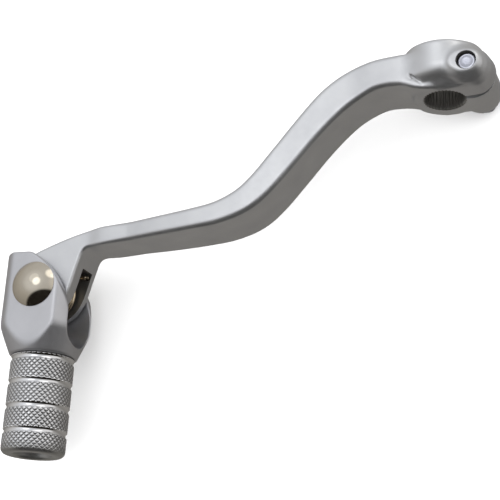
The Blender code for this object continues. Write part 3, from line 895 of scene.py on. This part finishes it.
# direction, cosine where the card starts, cosine where it is full, colour
STUDIO_CARDS = (
    ((0.20, -0.91, 0.36), 0.49, 0.62, (0.014, 0.012, 0.010)),
    ((0.90, 0.25, 0.35), 0.80, 0.95, (0.78, 0.77, 0.76)),
    ((-0.25, 0.34, 0.905), 0.78, 0.97, (0.76, 0.775, 0.80)),
    ((-0.07, 0.29, 0.954), 0.965, 0.992, (1.75, 1.77, 1.80)),
    ((0.50, 0.70, 0.50), 0.945, 0.985, (1.5, 1.49, 1.46)),
)


def build_camera():
    """Long lens from well above and outboard, with the toe tip nearest."""
    cam = bpy.data.objects.new("camera", bpy.data.cameras.new("camera"))
    cam.data.lens = CAMERA_LENS
    cam.data.sensor_width = 36.0
    cam.data.clip_start = 0.01
    cam.matrix_world = Matrix.Translation(CAMERA_AT) @ Matrix(
        (CAMERA_RIGHT, CAMERA_UP, CAMERA_RIGHT.cross(CAMERA_UP))).transposed().to_4x4()
    bpy.context.scene.collection.objects.link(cam)
    bpy.context.scene.camera = cam


def facing(tree, glance, toward, start, end):
    """0 to 1 as the glance turns towards a direction, between two cosines."""
    dot = tree.nodes.new("ShaderNodeVectorMath")
    dot.operation = "DOT_PRODUCT"
    tree.links.new(glance, dot.inputs[0])
    dot.inputs[1].default_value = Vector(toward).normalized()
    ease = tree.nodes.new("ShaderNodeMapRange")
    ease.interpolation_type = "SMOOTHSTEP"
    tree.links.new(dot.outputs["Value"], ease.inputs["Value"])
    ease.inputs["From Min"].default_value = start
    ease.inputs["From Max"].default_value = end
    return ease.outputs["Result"]


def blend_to(tree, share, under, colour):
    """Mix a colour over what is under it."""
    mix = tree.nodes.new("ShaderNodeMix")
    mix.data_type = "RGBA"
    mix.clamp_factor = True
    tree.links.new(share, mix.inputs["Factor"])
    if isinstance(under, tuple):
        mix.inputs["A"].default_value = (*under, 1.0)
    else:
        tree.links.new(under, mix.inputs["A"])
    mix.inputs["B"].default_value = (*colour, 1.0)
    return mix.outputs["Result"]


def build_world():
    """Soft studio: grey room, one dark card in front, lit cards above, behind and right."""
    world = bpy.data.worlds.new("studio")
    bpy.context.scene.world = world
    world.use_nodes = True
    tree = world.node_tree
    glance = tree.nodes.new("ShaderNodeTexCoord").outputs["Generated"]
    slope = facing(tree, glance, (0.0, 0.6, 0.8), -1.0, 1.0)
    slope.node.interpolation_type = "LINEAR"
    ramp = tree.nodes.new("ShaderNodeValToRGB")
    tree.links.new(slope, ramp.inputs["Fac"])
    while len(ramp.color_ramp.elements) < len(STUDIO_SLOPE):
        ramp.color_ramp.elements.new(0.5)
    for element, (at, colour) in zip(ramp.color_ramp.elements, STUDIO_SLOPE):
        element.position = at
        element.color = (*colour, 1.0)
    studio = ramp.outputs["Color"]
    for toward, start, end, colour in STUDIO_CARDS:
        studio = blend_to(tree, facing(tree, glance, toward, start, end), studio, colour)

    path = tree.nodes.new("ShaderNodeLightPath")
    even = tree.nodes.new("ShaderNodeMix")
    even.data_type = "RGBA"
    tree.links.new(path.outputs["Is Glossy Ray"], even.inputs["Factor"])
    even.inputs["A"].default_value = (*PALE_ROOM, 1.0)
    tree.links.new(studio, even.inputs["B"])
    tree.links.new(even.outputs["Result"], tree.nodes["Background"].inputs["Color"])


def area_light(name, place, aim, size, power, colour=(1, 1, 1)):
    """Round lamp; places in metres, power in watts."""
    lamp = bpy.data.lights.new(name, "AREA")
    lamp.shape = "DISK"
    lamp.size = size
    lamp.energy = power
    lamp.color = colour
    obj = bpy.data.objects.new(name, lamp)
    obj.location = place
    obj.rotation_euler = (Vector(aim) - Vector(place)).to_track_quat("-Z", "Y").to_euler()
    bpy.context.scene.collection.objects.link(obj)


def build_stage():
    """Pale floor under the lever, seen directly but not in the metal."""
    floor_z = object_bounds()[0][2] / MM
    reach = 4000.0
    floor = piece("floor", [(-reach, -reach, floor_z), (reach, -reach, floor_z),
                            (reach, reach, floor_z), (-reach, reach, floor_z)],
                  [(0, 1, 2, 3)], [], smooth=False)
    mat = bpy.data.materials.new("pale_floor")
    mat.use_nodes = True
    shader = mat.node_tree.nodes["Principled BSDF"]
    shader.inputs["Base Color"].default_value = (0.93, 0.93, 0.93, 1.0)
    shader.inputs["Roughness"].default_value = 0.9
    shader.inputs["Specular IOR Level"].default_value = 0.1
    floor.data.materials.append(mat)
    floor.visible_glossy = False


def build_lights():
    middle = (-0.06, -0.03, 0.0)
    area_light("overhead", (-0.35, 0.40, 0.85), middle, 0.50, 0.12)
    area_light("rear", (0.50, 0.55, 0.50), middle, 0.30, 0.06, (1.0, 0.98, 0.95))


# ------------------------------------------------------------------ assembly
def place(obj, body, node, slot):
    """Let a piece ride on a body and stand for a CAD node."""
    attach(obj, body)
    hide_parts(node)


place(build_lever(), "lever", "lever_arm", "forged_aluminium")
place(build_bolt(), "lever", "pinch_bolt", "zinc_plated_steel")
place(build_yoke(), "tip", "toe_yoke", "blasted_aluminium")
place(build_peg(), "tip", "toe_peg", "machined_aluminium")
place(build_pin(), "tip", "pivot_pin", "polished_nickel")
place(build_ring("tail_washer", "pivot_washer", WASHER_R, 0.2), "tip", "pivot_washer", "plain_steel")
place(build_ring("spring_sleeve", "pivot_sleeve", SLEEVE_R, 0.25), "tip", "pivot_sleeve", "plain_steel")

spring = build_spring()
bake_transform(spring)
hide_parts("torsion_spring")

build_stage()
build_camera()
build_world()
build_lights()
bpy.context.scene.view_settings.view_transform = "Standard"
